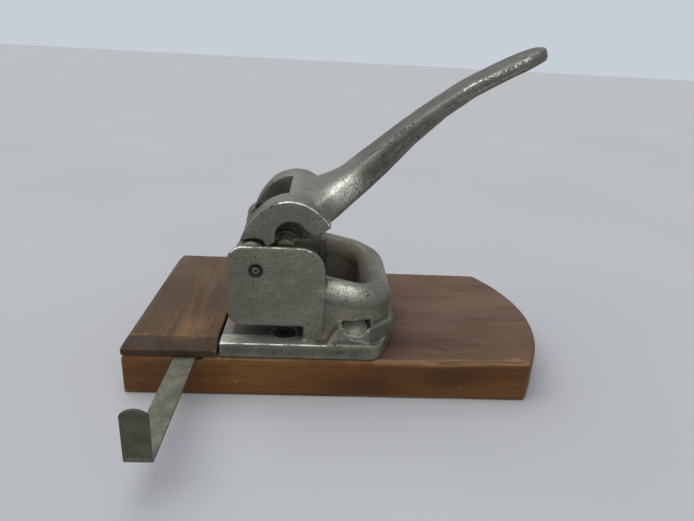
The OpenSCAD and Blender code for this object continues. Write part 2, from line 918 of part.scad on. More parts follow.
module ruler_spring() {
    x0 = ruler_x + ruler_w / 2 + 0.12;
    x1 = ruler_x - ruler_w / 2 - 0.3 + groove_w;
    t = 0.6;
    color([0.50, 0.48, 0.42])
    translate([0, spring_mid, board_thick - groove_d])
        linear_extrude(height = groove_d - 0.6)
            polygon([[x1, -22], [x1, -16], [x0 + t, -2], [x0 + t, 2], [x1, 16], [x1, 22],
                [x1 - t, 22], [x1 - t, 15.8], [x0, 1.8], [x0, -1.8], [x1 - t, -15.8],
                [x1 - t, -22]]);
}

module chip_cover() {
    color([0.42, 0.42, 0.40])
    difference() {
        translate([pivot_x + punch_u - cover_half + 0.2, pair_y - punch_v - cover_over + 0.2, 0.2])
            cube([2 * cover_half - 0.4, punch_span + 2 * cover_over - 0.4, cover_thick]);
        for (sx = [-1, 1])
            for (sy = [-1, 1])
                translate([pivot_x + punch_u + sx * cover_screw_u, pair_y + sy * cover_screw_v, -1])
                    cylinder(r = 1.6, h = 4);
    }
}

module chip_cover_screws() {
    color([0.55, 0.50, 0.36])
    for (sx = [-1, 1])
        for (sy = [-1, 1])
            translate([pivot_x + punch_u + sx * cover_screw_u, pair_y + sy * cover_screw_v, 0.15])
                difference() {
                    union() {
                        cylinder(r = 1.4, h = 9);
                        translate([0, 0, -0.1])
                            cylinder(r = 1.6, h = 1.1);
                    }
                    translate([-3, -0.3, -0.2])
                        cube([6, 0.6, 0.6]);
                }
}

base_board();
table_board();
base_casting();
fulcrum_shaft();
lever();
near_punch();
far_punch();
near_cross_pin();
far_cross_pin();
near_spring_washer();
far_spring_washer();
near_return_spring();
far_return_spring();
near_guide_bush();
far_guide_bush();
near_die();
far_die();
guide_ruler();
ruler_spring();
ridge_screws();
flange_screws();
table_screws();
chip_cover();
chip_cover_screws();
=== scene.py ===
import math

import bmesh
import bpy
import numpy as np
from mathutils import Matrix, Vector


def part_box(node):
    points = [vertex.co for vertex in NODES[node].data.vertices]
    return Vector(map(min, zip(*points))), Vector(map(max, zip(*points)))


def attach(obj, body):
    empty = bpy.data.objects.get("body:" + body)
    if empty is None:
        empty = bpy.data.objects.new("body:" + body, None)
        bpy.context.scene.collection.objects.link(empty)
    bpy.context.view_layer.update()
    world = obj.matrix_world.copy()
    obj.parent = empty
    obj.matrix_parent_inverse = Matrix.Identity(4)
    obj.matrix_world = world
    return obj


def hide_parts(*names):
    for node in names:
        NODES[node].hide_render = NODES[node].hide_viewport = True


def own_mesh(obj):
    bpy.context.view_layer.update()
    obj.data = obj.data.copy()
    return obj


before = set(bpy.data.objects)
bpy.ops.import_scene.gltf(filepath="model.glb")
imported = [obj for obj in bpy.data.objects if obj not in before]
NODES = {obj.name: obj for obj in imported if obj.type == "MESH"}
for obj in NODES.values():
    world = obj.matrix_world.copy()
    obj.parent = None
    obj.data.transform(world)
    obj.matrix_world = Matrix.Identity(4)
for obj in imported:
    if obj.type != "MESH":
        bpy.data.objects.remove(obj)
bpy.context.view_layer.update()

# Desk paper punch on a wooden board. Metres, +Z up, the board's long side along X.
# The viewer stands at -Y. The fulcrum of the handle is PIVOT. The tables of rubbed,
# painted and chipped places, and of painted highlights and painted shade, are in mm
# from the fulcrum: along the board, across it, up.
MM = 0.001
PIVOT = Vector((-0.0567, -0.01825, 0.0833))
SHAFT_BORE = 3.56 * MM
PUNCH_X = -0.0398
PUNCH_Y = {"near": -0.05825, "far": 0.02175}
SPRING_LOW, SPRING_TALL, STROKE = 0.0683, 0.0227, 0.0125
WELD_REACH = 2e-6
MOST_FACES = 180_000


def srgb(red, green, blue):
    """A colour written as 0 to 255 on screen, as the linear colour that a socket takes."""
    return tuple(((c / 255 + 0.055) / 1.055) ** 2.4 if c > 10 else c / 255 / 12.92
                 for c in (red, green, blue)) + (1.0,)


# ---------------------------------------------------------------- mesh tools

def table_of(collection, field, width):
    """One number or vector per element of a mesh, as an array."""
    flat = np.empty(len(collection) * width, np.float32)
    collection.foreach_get(field, flat)
    return flat.reshape(-1, width).astype(np.float64)


def pairs_of(mesh):
    """The two ends of each edge of a mesh."""
    pairs = np.empty(len(mesh.edges) * 2, np.int32)
    mesh.edges.foreach_get("vertices", pairs)
    return pairs.reshape(-1, 2)


def eased(points, pairs, rounds, weight=0.5):
    """Points drawn towards their neighbours, which rounds edges and takes out steps."""
    near, far = pairs[:, 0], pairs[:, 1]
    count = np.bincount(pairs.ravel(), minlength=len(points))[:, None].clip(1)
    for _ in range(rounds):
        total = np.stack([np.bincount(near, points[far, k], len(points))
                          + np.bincount(far, points[near, k], len(points))
                          for k in range(3)], axis=1)
        points = points + weight * (total / count - points)
    return points


def ripple(points, wave, seed, waves=14):
    """A smooth uneven field over the points, about -2 to 2, with bumps as long as wave."""
    draw = np.random.default_rng(seed)
    total = np.zeros(len(points))
    for _ in range(waves):
        way = draw.normal(size=3)
        way *= 2 * math.pi / (np.linalg.norm(way) * wave * draw.uniform(0.6, 1.7))
        total += np.sin(points @ way + draw.uniform(0, 2 * math.pi))
    return total / math.sqrt(waves / 2)


def from_fulcrum(points):
    """Points in millimetres from the fulcrum."""
    return (points - np.array(PIVOT)) / MM


def spot(points, centre, reach):
    """1 at the centre, falling off over the reach along X, Y and Z."""
    away = from_fulcrum(points) - np.array(centre)
    return np.exp(-((away / np.array(reach)) ** 2).sum(1))


def stripe(points, path, width):
    """1 on a line through the path's points, falling off over the width."""
    here = from_fulcrum(points)
    best = np.full(len(points), 1e9)
    path = np.array(path, float)
    for a, b in zip(path[:-1], path[1:]):
        along = ((here - a) @ (b - a) / ((b - a) @ (b - a))).clip(0, 1)
        best = np.minimum(best, np.linalg.norm(here - a - along[:, None] * (b - a), axis=1))
    return np.exp(-(best / width) ** 2)


def spots(points, rows):
    """Spots together; a row is a weight, a centre and a reach."""
    return sum(weight * spot(points, centre, reach) for weight, centre, reach in rows)


def stripes(points, rows):
    """Stripes together; a row is a weight, a width and a path."""
    return sum(weight * stripe(points, path, width) for weight, width, path in rows)


def chips(points, rows, tall=1.0):
    """Small chips together; a row is a place and a size, tall is height against width."""
    return sum(spot(points, (u, v, w), (size, 1.5, size * tall)) for u, v, w, size in rows)


def set_fields(mesh, **fields):
    """Keeps one value of 0 to 1 per point under each name, for the materials to read."""
    for name, values in fields.items():
        kept = mesh.attributes.new(name, "FLOAT", "POINT")
        kept.data.foreach_set("value", np.ascontiguousarray(values.clip(0, 1), dtype=np.float32))


def set_points(mesh, points):
    mesh.vertices.foreach_set("co", np.ascontiguousarray(points, dtype=np.float32).ravel())
    mesh.update()


def shade_smooth(mesh):
    mesh.polygons.foreach_set("use_smooth", np.ones(len(mesh.polygons), bool))


def show(name, data):
    """Puts a mesh, a lamp or a camera into the scene."""
    piece = bpy.data.objects.new(name, data)
    bpy.context.scene.collection.objects.link(piece)
    return piece


def built(name, points, faces):
    """A closed piece from its points and faces, with the faces turned outwards."""
    mesh = bpy.data.meshes.new(name)
    mesh.from_pydata([tuple(p) for p in points], [], faces)
    work = bmesh.new()
    work.from_mesh(mesh)
    bmesh.ops.recalc_face_normals(work, faces=work.faces)
    work.to_mesh(mesh)
    work.free()
    return show(name, mesh)


def settled(piece):
    """The piece's mesh with its modifiers worked in."""
    graph = bpy.context.evaluated_depsgraph_get()
    mesh = bpy.data.meshes.new_from_object(piece.evaluated_get(graph))
    piece.modifiers.clear()
    piece.data = mesh
    return mesh


def add_weld(piece):
    piece.modifiers.new("weld", "WELD").merge_threshold = WELD_REACH


def add_bevel(piece, name, width, segments, angle):
    """Breaks the edges that are sharper than the angle, in degrees."""
    bevel = piece.modifiers.new(name, "BEVEL")
    bevel.width = width
    bevel.segments = segments
    bevel.limit_method = "ANGLE"
    bevel.angle_limit = math.radians(angle)


def recast(node, name, grain, rounds, dents, shape, fillet=None):
    """A node's form as the foundry or the plane leaves it: edges rounded, skin slightly uneven.
    Fillet fills a hollow; shape moves the last points and sets the fields of wear, painted shade
    and painted highlight, from how far each point stands out (an edge) or lies in a corner (a
    hollow)."""
    piece = show(name, NODES[node].data.copy())
    piece.data.materials.clear()
    for label in [a.name for a in piece.data.attributes if a.name.startswith("UV")]:
        piece.data.attributes.remove(piece.data.attributes[label])
    add_weld(piece)
    skin = piece.modifiers.new("skin", "REMESH")
    skin.mode = "VOXEL"
    skin.voxel_size = grain
    mesh = settled(piece)
    pairs = pairs_of(mesh)
    points = eased(table_of(mesh.vertices, "co", 3), pairs, rounds)
    set_points(mesh, points)
    normals = table_of(mesh.vertex_normals, "vector", 3)
    wide = eased(points, pairs, max(8, round((1.5 * MM / grain) ** 2 * 5)))
    stands = ((points - wide) * normals).sum(1) / (0.42 * MM)
    points = points + normals * (dents * ripple(points, 0.011, 5)
                                 + 0.5 * dents * ripple(points, 0.004, 6))[:, None]
    if fillet:
        where, radius = fillet(points)
        soft = eased(points, pairs, round((radius * MM / grain) ** 2 * 1.2), 0.7)
        filled = ((soft - points) * normals).sum(1).clip(0, None) * where
        points = points + normals * filled[:, None]
    points = shape(mesh, points, normals, stands)
    low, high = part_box(node)
    set_points(mesh, points.clip(tuple(low), tuple(high)))
    if 2 * len(mesh.polygons) > MOST_FACES:
        thin = piece.modifiers.new("thin", "DECIMATE")
        thin.ratio = MOST_FACES / (2 * len(mesh.polygons))
        mesh = settled(piece)
    shade_smooth(mesh)
    return piece


def keep_bore(points):
    """Holds the shaft's bore at its drilled radius after the easing."""
    middle = np.array([PIVOT.x, PIVOT.z])
    away = points[:, [0, 2]] - middle
    far = np.linalg.norm(away, axis=1)
    inside = (far < SHAFT_BORE) & (far > 1e-5)
    points[inside[:, None] & np.array([True, False, True])] = (
        middle + away[inside] * (SHAFT_BORE / far[inside])[:, None]).ravel()
    return points


def keep_groove(points):
    """Holds the ruler's groove in the base board at its sawn size after the easing.
    Points within a millimetre of two walls go out to both, so its corners are square.
    The groove is wider than the ruler, because its spring lies beside it."""
    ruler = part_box("guide_ruler")[0]
    left, right = ruler.x - 0.3 * MM, ruler.x + 17.1 * MM
    floor, end = ruler.z - 0.35 * MM, 0.072
    depth = np.stack([points[:, 0] - left, right - points[:, 0],
                      points[:, 2] - floor, end - points[:, 1]])
    inside = (depth > 0).all(0)
    nearest = depth.argmin(0)
    close = depth < 1.0 * MM
    in_corner = close.sum(0) > 1
    for side, (axis, wall) in enumerate(((0, left), (0, right), (2, floor), (1, end))):
        points[inside & ((nearest == side) | close[side] & in_corner), axis] = wall
    return points


def ease_edges(node, width):
    """Just breaks a carried-over node's sharp edges, as turned and filed steel has them."""
    add_weld(node)
    add_bevel(node, "broken_edges", width, 2, 40)
    shade_smooth(node.data)
    node.modifiers.new("shading", "WEIGHTED_NORMAL")


# ---------------------------------------------------------------- node tools

def feed(tree, socket, value):
    """Links another node's output to the socket, or sets a plain value on it."""
    if isinstance(value, bpy.types.NodeSocket):
        tree.links.new(value, socket)
    else:
        socket.default_value = value


def put(tree, kind, inputs=None, **settings):
    """Adds a shader node; inputs are values or the outputs of other nodes."""
    node = tree.nodes.new("ShaderNode" + kind)
    for key, value in settings.items():
        setattr(node, key, value)
    for key, value in (inputs or {}).items():
        feed(tree, node.inputs[key], value)
    return node


def maths(tree, operation, a, b=0.0, clamp=False):
    return put(tree, "Math", {0: a, 1: b}, operation=operation, use_clamp=clamp).outputs[0]


def times(tree, a, b, clamp=False):
    return maths(tree, "MULTIPLY", a, b, clamp)


def plus(tree, a, b, clamp=False):
    return maths(tree, "ADD", a, b, clamp)


def minus(tree, a, b, clamp=False):
    return maths(tree, "SUBTRACT", a, b, clamp)


def most(tree, a, b):
    return maths(tree, "MAXIMUM", a, b)


def ramp(tree, value, low, high, out_low=0.0, out_high=1.0):
    """The value spread from low..high onto out_low..out_high, with soft ends."""
    return put(tree, "MapRange", {"Value": value, "From Min": low, "From Max": high,
                                  "To Min": out_low, "To Max": out_high},
               interpolation_type="SMOOTHSTEP").outputs["Result"]


def mixed(tree, share, a, b):
    """Colour a, with the share of colour b laid over it."""
    return put(tree, "Mix", {0: share, 6: a, 7: b}, data_type="RGBA").outputs[2]


def noise(tree, vector, scale, detail=3.0, rough=0.55, skew=0.0):
    return put(tree, "TexNoise", {"Vector": vector, "Scale": scale, "Detail": detail,
                                  "Roughness": rough, "Distortion": skew}).outputs["Fac"]


def stretch(tree, vector, x, y, z):
    """The vector scaled along each axis; a small scale draws a texture out along it."""
    return put(tree, "VectorMath", {0: vector, 1: (x, y, z)}, operation="MULTIPLY").outputs[0]


def start_group(name, ins, outs):
    """A shader node group with its inputs and outputs named, and its two end nodes."""
    tree = bpy.data.node_groups.new(name, "ShaderNodeTree")
    for label, kind, value in ins:
        socket = tree.interface.new_socket(label, in_out="INPUT", socket_type="NodeSocket" + kind)
        if value is not None:
            socket.default_value = value
    for label in outs:
        tree.interface.new_socket(label, in_out="OUTPUT", socket_type="NodeSocketFloat")
    return tree, tree.nodes.new("NodeGroupInput").outputs, tree.nodes.new("NodeGroupOutput").inputs


def place(tree, group, inputs):
    """An effect's group placed in a material with its own values."""
    return put(tree, "Group", inputs, node_tree=group).outputs


def field(tree, name):
    """The value that set_fields kept on the mesh under the name."""
    return put(tree, "Attribute", attribute_name=name, attribute_type="GEOMETRY").outputs["Fac"]


def start_material(name, base, metallic, roughness, **sockets):
    """A material with its Principled shader, and the object's own coordinates."""
    made = bpy.data.materials.new(name)
    made.use_nodes = True
    tree = made.node_tree
    shader = tree.nodes["Principled BSDF"]
    for key, value in {"Base Color": base, "Metallic": metallic, "Roughness": roughness,
                       **sockets}.items():
        shader.inputs[key].default_value = value
    return made, tree, shader, put(tree, "TexCoord").outputs["Object"]


def raise_skin(tree, shader, height, strength, depth):
    """Fine relief from a height that changes over the surface."""
    bump = put(tree, "Bump", {"Height": height, "Strength": strength, "Distance": depth})
    feed(tree, shader.inputs["Normal"], bump.outputs["Normal"])


def lay_over(tree, share, colour):
    """Lays a colour over the material's own by a share."""
    base = tree.nodes["Principled BSDF"].inputs["Base Color"]
    feed(tree, base, mixed(tree, share, base.links[0].from_socket, colour))


# ---------------------------------------------------------------- shared effects

def make_cast_skin():
    """Sand-cast iron under thin metal paint: cloudy tone, salt-and-pepper grain, a few pits."""
    tree, take, give = start_group(
        "cast_skin", [("Vector", "Vector", None)], ["Cloud", "Pepper", "Pits", "Height"])
    at = take["Vector"]
    cloud = noise(tree, at, 55, 4, 0.6)
    pepper = noise(tree, at, 1250, 2, 0.7)
    fine = noise(tree, at, 700, 3, 0.6)
    cells = put(tree, "TexVoronoi", {"Vector": at, "Scale": 330}, feature="F1")
    sparse = ramp(tree, noise(tree, at, 130, 2, 0.5), 0.54, 0.68)
    pits = times(tree, ramp(tree, cells.outputs["Distance"], 0.30, 0.16), sparse)
    height = plus(tree, times(tree, pepper, 0.45), times(tree, fine, 0.75))
    grains = plus(tree, times(tree, pepper, 0.7), times(tree, fine, 0.3))
    feed(tree, give["Cloud"], ramp(tree, cloud, 0.3, 0.7))
    feed(tree, give["Pepper"], ramp(tree, grains, 0.38, 0.62))
    feed(tree, give["Pits"], pits)
    feed(tree, give["Height"], minus(tree, height, times(tree, pits, 1.4)))
    return tree


def make_rubbed_edge():
    """Where hands and paper have rubbed an edge bare, broken up, with dark chips beside it."""
    tree, take, give = start_group(
        "rubbed_edge", [("Vector", "Vector", None), ("Edge", "Float", 0.0),
                        ("Reach", "Float", 0.5), ("Patches", "Float", 90.0)],
        ["Bare", "Chips"])
    at, edge = take["Vector"], take["Edge"]
    broad = noise(tree, at, take["Patches"], 2, 0.5)
    ragged = noise(tree, at, 800, 3, 0.65)
    raised = plus(tree, edge, times(tree, minus(tree, ragged, 0.5), 0.7))
    raised = plus(tree, raised, times(tree, minus(tree, broad, 0.5), 1.1))
    start = minus(tree, 1.15, take["Reach"])
    bare = ramp(tree, raised, start, plus(tree, start, 0.22))
    speck = ramp(tree, noise(tree, at, 620, 3, 0.65, 0.5), 0.60, 0.68)
    rim = ramp(tree, edge, 0.15, 0.6)
    feed(tree, give["Bare"], bare)
    feed(tree, give["Chips"], times(tree, speck, rim))
    return tree


def make_wood_grain():
    """Plain sawn beech under old varnish. The vector's X runs along the grain."""
    tree, take, give = start_group(
        "wood_grain", [("Vector", "Vector", None)], ["Cloud", "Streaks", "Pores", "Height"])
    at = take["Vector"]
    cloud = noise(tree, stretch(tree, at, 0.35, 1, 1), 26, 4, 0.6, 0.3)
    bands = noise(tree, stretch(tree, at, 0.05, 1, 1), 210, 4, 0.62, 0.25)
    hair = noise(tree, stretch(tree, at, 0.03, 1, 1), 900, 3, 0.6)
    dash = noise(tree, stretch(tree, at, 0.11, 1, 1), 1250, 2, 0.5)
    pores = ramp(tree, dash, 0.62, 0.72)
    streaks = plus(tree, times(tree, bands, 0.6), times(tree, hair, 0.4))
    feed(tree, give["Cloud"], ramp(tree, cloud, 0.3, 0.7))
    feed(tree, give["Streaks"], ramp(tree, streaks, 0.34, 0.66))
    feed(tree, give["Pores"], pores)
    feed(tree, give["Height"], minus(tree, streaks, times(tree, pores, 0.8)))
    return tree


def make_tool_marks():
    """Steel as the lathe or the rolls leave it, with tarnish clouds. X runs along the marks."""
    tree, take, give = start_group(
        "tool_marks", [("Vector", "Vector", None), ("Pitch", "Float", 1800.0)],
        ["Cloud", "Marks", "Specks"])
    at = take["Vector"]
    marks = noise(tree, stretch(tree, at, 0.04, 1, 1), take["Pitch"], 2, 0.6)
    feed(tree, give["Cloud"], ramp(tree, noise(tree, at, 120, 4, 0.6), 0.32, 0.68))
    feed(tree, give["Marks"], marks)
    feed(tree, give["Specks"], ramp(tree, noise(tree, at, 600, 2, 0.6), 0.62, 0.70))
    return tree


CAST_SKIN = make_cast_skin()
RUBBED_EDGE = make_rubbed_edge()
WOOD_GRAIN = make_wood_grain()
TOOL_MARKS = make_tool_marks()


# ---------------------------------------------------------------- materials

PEPPER_GREY = srgb(70, 70, 62)
BARE_IRON_AND_SHEEN = srgb(214, 213, 200)
PRIMER_AND_LIGHT_BROWN = srgb(134, 124, 110)
SHADE_AND_GRIME = srgb(40, 38, 32)
RUST_RED = srgb(74, 40, 32)
CHIPS_AND_SHADE_BLACK = srgb(36, 33, 27)
PORE_BROWN = srgb(50, 34, 22)
STAIN_BROWN = srgb(40, 27, 19)
TARNISH = srgb(44, 38, 30)
TAB_SHADE = srgb(52, 52, 44)
SHAFT_END_DARK = srgb(38, 36, 31)
# Turns the tool marks of a steel from along X to along Y
MARKS_ALONG_Y = (0, 0, math.pi / 2)


def cast_paint(name, light, dark, reach):
    """Grey metal paint on a casting: rubbed bright on its edges, painted highlights on it here and
    there, painted shade with some grime in its corners.
    """
    made, tree, shader, at = start_material(name, light, 0.7, 0.5)
    skin = place(tree, CAST_SKIN, {"Vector": at})
    rubbed = place(tree, RUBBED_EDGE,
                   {"Vector": at, "Edge": field(tree, "edge"), "Reach": reach})
    colour = mixed(tree, skin["Cloud"], dark, light)
    colour = mixed(tree, times(tree, skin["Pepper"], 0.52), colour, PEPPER_GREY)
    # Bare iron laid over the paint: worn metal, and painted highlights on the ridge's crest, the
    # handle's root, the flash lines and the flange's top
    high_grains = ramp(tree, skin["Pepper"], 1.15, 0.3)
    polish = times(tree, field(tree, "polish"), high_grains, clamp=True)
    bare = most(tree, rubbed["Bare"], polish)
    colour = mixed(tree, bare, colour, BARE_IRON_AND_SHEEN)
    # A light undercoat colour: spots of it, and painted light in the shaded screw pocket and well
    clouds = ramp(tree, skin["Cloud"], -0.6, 0.7)
    primer = times(tree, field(tree, "primer"), clouds, clamp=True)
    colour = mixed(tree, primer, colour, PRIMER_AND_LIGHT_BROWN)
    # Painted shade with some grime: corners, the insides of the heads and the slot under them
    # darkened
    shade_and_grime = times(tree, ramp(tree, field(tree, "hollow"), 0.05, 0.95), 0.7)
    colour = mixed(tree, shade_and_grime, colour, SHADE_AND_GRIME)
    low_grains = ramp(tree, skin["Pepper"], 1.3, 0.2)
    rust = times(tree, field(tree, "rust"), low_grains, clamp=True)
    colour = mixed(tree, rust, colour, RUST_RED)
    # Pits, chips and a painted-shade ring in the shaft's bore go nearly black
    dark_marks = most(tree, most(tree, skin["Pits"], rubbed["Chips"]), field(tree, "scar"))
    colour = mixed(tree, times(tree, dark_marks, 0.85), colour, CHIPS_AND_SHADE_BLACK)
    feed(tree, shader.inputs["Base Color"], colour)
    dull = most(tree, most(tree, dark_marks, shade_and_grime), most(tree, primer, rust))
    feed(tree, shader.inputs["Metallic"], minus(tree, 0.7, times(tree, dull, 0.6), clamp=True))
    rough = minus(tree, plus(tree, 0.5, times(tree, dull, 0.35)), times(tree, bare, 0.14),
                  clamp=True)
    feed(tree, shader.inputs["Roughness"], rough)
    raise_skin(tree, shader, skin["Height"], 0.55, 0.0004)
    return made


def old_wood(name, top, top_dark, side, side_dark, pale_edge, turn):
    """Varnished beech gone brown: faces that look up take the top colours, greyer as a painted
    sheen, the sides the side colours, golden and, on the table, darker as painted shade. The edges
    pale.
    Its grain runs along X, or turned by so many degrees."""
    made, tree, shader, at = start_material(name, side, 0.0, 0.5,
                                            **{"Specular IOR Level": 0.28})
    along = at
    if turn:
        along = put(tree, "Mapping",
                    {"Vector": at, "Rotation": (0, 0, math.radians(turn))}).outputs[0]
    grain = place(tree, WOOD_GRAIN, {"Vector": along})
    upper = mixed(tree, grain["Cloud"], top, top_dark)
    lower = mixed(tree, grain["Cloud"], side, side_dark)
    # Lit and shaded copies of the wood: faces that look up take the top colours, the sides the
    # side colours
    up = field(tree, "up")
    colour = mixed(tree, up, lower, upper)
    streak = mixed(tree, up, side_dark, top_dark)
    colour = mixed(tree, times(tree, grain["Streaks"], 0.55), colour, streak)
    colour = mixed(tree, times(tree, grain["Pores"], 0.5), colour, PORE_BROWN)
    between_streaks = ramp(tree, grain["Streaks"], 0.8, 0.1)
    glow = times(tree, field(tree, "pale"), between_streaks, clamp=True)
    colour = mixed(tree, glow, colour, pale_edge)
    rubbed = place(tree, RUBBED_EDGE, {"Vector": at, "Edge": field(tree, "edge"),
                                       "Reach": 0.34, "Patches": 60.0})
    colour = mixed(tree, times(tree, rubbed["Bare"], 0.32), colour, pale_edge)
    colour = mixed(tree, field(tree, "stain"), colour, STAIN_BROWN)
    feed(tree, shader.inputs["Base Color"], colour)
    rough = ramp(tree, grain["Cloud"], 0, 1, 0.5, 0.64)
    feed(tree, shader.inputs["Roughness"], plus(tree, rough, times(tree, glow, 0.15)))
    raise_skin(tree, shader, grain["Height"], 0.35, 0.0003)
    return made


def steel(name, light, dark, roughness, pitch=1800.0, metallic=0.9, turn=(0, 0, 0),
          specks=0.6):
    """Steel or brass with tool marks and tarnish."""
    made, tree, shader, at = start_material(name, light, metallic, roughness)
    along = put(tree, "Mapping", {"Vector": at, "Rotation": turn}).outputs[0]
    marks = place(tree, TOOL_MARKS, {"Vector": along, "Pitch": pitch})
    colour = mixed(tree, marks["Cloud"], light, dark)
    colour = mixed(tree, times(tree, marks["Specks"], specks), colour, TARNISH)
    feed(tree, shader.inputs["Base Color"], colour)
    rough = ramp(tree, marks["Marks"], 0.3, 0.7, roughness - 0.08, roughness + 0.08)
    rough = plus(tree, rough, times(tree, marks["Cloud"], 0.08), clamp=True)
    feed(tree, shader.inputs["Roughness"], rough)
    raise_skin(tree, shader, marks["Marks"], 0.15, 0.0001)
    return made


def shaded_tab(made):
    """The ruler's stop tab is painted darker than the strip, above where it is bent up: painted
    shade on its upright face.
    """
    tree = made.node_tree
    at = put(tree, "TexCoord").outputs["Object"]
    height = put(tree, "SeparateXYZ", {0: at}).outputs["Z"]
    lay_over(tree, times(tree, ramp(tree, height, 0.0282, 0.0302), 0.5), TAB_SHADE)
    return made


def shaft_end(made):
    """The shaft's ends: painted shade round the rim of each, where it sits back in its bore, and a
    dark lathe centre in its middle.
    """
    tree = made.node_tree
    at = put(tree, "TexCoord").outputs["Object"]
    off = put(tree, "VectorMath", {0: at, 1: tuple(PIVOT)}, operation="SUBTRACT").outputs[0]
    flat = stretch(tree, off, 1, 0, 1)
    away = put(tree, "VectorMath", {0: flat}, operation="LENGTH").outputs["Value"]
    ring = most(tree, ramp(tree, away, 0.0021, 0.0027), ramp(tree, away, 0.0009, 0.0006))
    across = maths(tree, "ABSOLUTE", put(tree, "SeparateXYZ", {0: off}).outputs["Y"])
    lay_over(tree, times(tree, ring, ramp(tree, across, 0.0495, 0.0505)), SHAFT_END_DARK)
    return made


PAINT_BASE = cast_paint("casting_paint", srgb(138, 136, 123), srgb(122, 120, 107), 0.42)
PAINT_LEVER = cast_paint("lever_paint", srgb(130, 128, 117), srgb(110, 108, 97), 0.42)
WOOD_BASE = old_wood("base_beech", srgb(118, 90, 70), srgb(96, 70, 53), srgb(126, 84, 38),
                     srgb(88, 54, 22), srgb(170, 134, 94), 0)
WOOD_TABLE = old_wood("table_beech", srgb(100, 76, 50), srgb(76, 56, 37), srgb(80, 61, 41),
                      srgb(58, 43, 29), srgb(146, 112, 74), 90)
SHAFT_STEEL = shaft_end(steel("shaft_steel", srgb(120, 114, 102), srgb(84, 78, 68), 0.42))
GROUND_STEEL = steel("ground_steel", srgb(166, 164, 150), srgb(128, 126, 112), 0.38,
                     metallic=0.7)
# The dies painted near black, as the shade under the heads falls on them
SHADED_DIE_STEEL = steel("shaded_die_steel", srgb(48, 46, 41), srgb(38, 36, 31), 0.6, metallic=0.5)
PIN_STEEL = steel("pin_steel", srgb(130, 126, 104), srgb(98, 93, 74), 0.36, 900.0,
                  turn=MARKS_ALONG_Y)
SPRING_STEEL = steel("spring_steel", srgb(104, 102, 98), srgb(70, 66, 60), 0.4)
RULER_STEEL = shaded_tab(steel("ruler_steel", srgb(116, 116, 98), srgb(92, 92, 76), 0.5,
                               1400.0, 0.6, turn=MARKS_ALONG_Y, specks=0.75))
SCREW_STEEL = steel("screw_steel", srgb(146, 144, 130), srgb(112, 108, 94), 0.45, metallic=0.7)
# Painted over like the casting, and lighter than its paint: painted light on the screw in its
# shaded pocket
SCREW_PAINTED = steel("screw_painted", srgb(186, 183, 168), srgb(150, 146, 130), 0.6,
                      metallic=0.15)
SCREW_BRASS = steel("screw_brass", srgb(176, 142, 78), srgb(120, 92, 48), 0.42)
BUSH_BRASS = steel("bush_brass", srgb(178, 146, 84), srgb(136, 106, 58), 0.36)
COVER_SHEET = steel("cover_sheet", srgb(116, 116, 110), srgb(88, 86, 80), 0.5, 900.0)


def dress(piece, material):
    piece.data.materials.clear()
    piece.data.materials.append(material)


def swap(piece, node, body, material):
    """A piece that stands for a node: it rides on the node's body and takes its finish."""
    dress(piece, material)
    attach(piece, body)
    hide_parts(node)


# ---------------------------------------------------------------- castings

CASTING_RUBBED = (
    # The near plate's top edge
    (0.85, 2.2, ((-14, -52, 12), (-9, -52, 15), (23, -52, 15.4), (30, -52, 14.4),
                 (35, -52, 10), (38.5, -52, 4))),
    # The flange's near rim, and its corner
    (1.0, 2.4, ((-20, -56.3, -46.5), (52, -56.3, -46.5))),
    (0.7, 2.2, ((52, -56.3, -46.3), (66, -54.6, -46), (74, -50, -46))),
    # The far plate's top edge, and the flange's far rim
    (0.5, 2.0, ((-14, 52, 12), (23, 52, 15.4), (38, 52, 5))),
    (0.55, 2.0, ((-22, 56, -46.5), (60, 56, -46.5))),
    # The ridge over its screw's pocket, and beside it
    (0.75, 2.2, ((47, -51.8, -31), (56, -52, -30), (62, -51, -30.5))),
    (0.55, 2.6, ((70, -43, -35), (76, -42, -31), (83, -31, -33))),
    # The near plate's right edge
    (0.6, 1.6, ((41, -52, 0), (41.4, -52, -40))))
# Flash lines painted bright, as highlights on their ridges
CASTING_FLASH_HIGHLIGHTS = (
    (0.8, 0.5, ((70.4, -42.5, -35.5), (75.8, -44.3, -31.5), (83.7, -30.9, -32.9))),
    (0.9, 0.6, ((54.5, -54.4, -38.8), (59.3, -54.4, -40.3), (64.3, -54.4, -40.8),
                (68.3, -54.4, -38), (69.8, -54, -35.5))),
    (0.7, 0.45, ((55, -54.4, -41.7), (61.3, -54.4, -43.6), (68.9, -54.4, -44.8),
                 (76.3, -49.9, -46.3), (81.4, -43.1, -46.3))),
    (0.8, 0.6, ((50.5, -51.9, -31.5), (56, -51.9, -30.8), (64, -51.4, -30.6))))
# Bare metal on the ridge, and a painted highlight on its crest
RIDGE_BARE_AND_SHEEN = ((0.95, (56, -49.5, -11), (12, 6, 4.5)), (0.5, (60, 49, -12), (11, 6, 4)),
                (0.35, (82, -5, -13), (5, 20, 4)))
CASTING_PRIMER = ((1.0, (46, -52, -38.5), (3.6, 3, 3.2)), (0.9, (43.5, -52, -43.5), (3, 3, 2.5)),
                  (0.75, (54, -52, -28.5), (5, 3, 1.8)), (0.4, (50.5, -55, -43), (3, 2, 2.5)),
                  (1.2, (47.5, -53, -40.5), (3.2, 3, 3.4)))
CASTING_RUST = ((0.8, (38, 26, -5.5), (7, 3, 3)), (0.7, (42, -28, -8), (5, 4, 6)))
CASTING_CHIPS = (
    (54.5, -52.6, -17.3, 0.9), (55.5, -52.4, -19.5, 0.7), (40.6, -51.8, -36.5, 0.9),
    (48.4, -56.2, -46.8, 0.8), (52.3, -56.3, -50.5, 1.1), (50.3, -56.3, -51.5, 0.8),
    (62.2, -55.6, -48.8, 0.8), (71.7, -52.5, -52.6, 0.9), (29, -52, 13.2, 0.7),
    (33.5, -52, 10.5, 0.6), (21, -56.3, -53, 0.6), (-6, -56.3, -47.6, 0.5))
PLATE_RIGHT = 41.3

